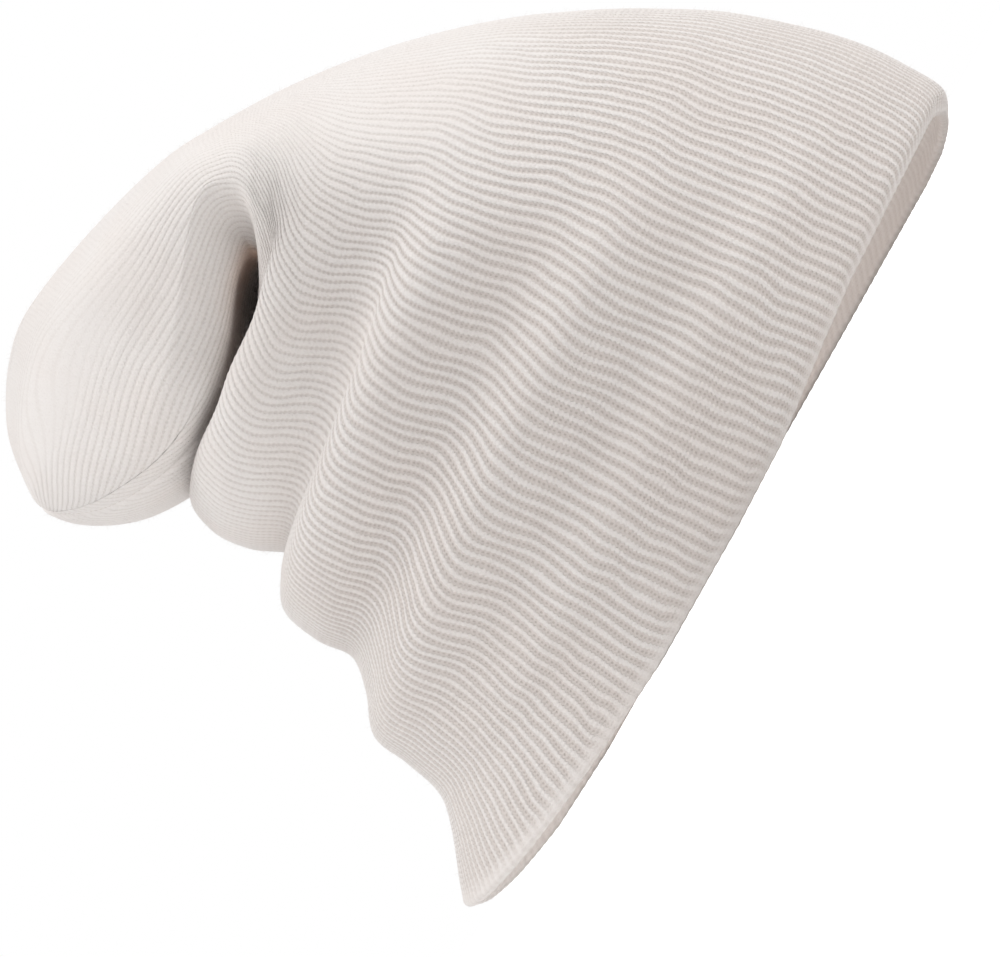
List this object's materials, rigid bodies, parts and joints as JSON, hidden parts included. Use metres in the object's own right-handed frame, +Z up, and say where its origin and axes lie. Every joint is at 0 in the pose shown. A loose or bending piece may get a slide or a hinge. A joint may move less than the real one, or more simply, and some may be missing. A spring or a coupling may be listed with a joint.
{
  "type": "slouch knit hat",
  "caption": "Long slouched rib-knit hat standing on its open brim, with a crown that folds over into a hanging end.",
  "frame": {"origin": "middle of the hat's bounding box, on the surface that the brim rests on", "axes": "+X to the front of the hat, +Y to its far side, +Z up from the brim to the crown"},
  "size_m": [0.217, 0.1726, 0.165],
  "materials": {
    "knit": "matte ribbed knit, off-white yarn",
    "seam": "matte sewn yarn"
  },
  "bodies": {
    "root": {"knit_shell": "knit", "dart_seam_1": "seam", "dart_seam_2": "seam", "dart_seam_3": "seam", "dart_seam_4": "seam"}
  },
  "joints": []
}
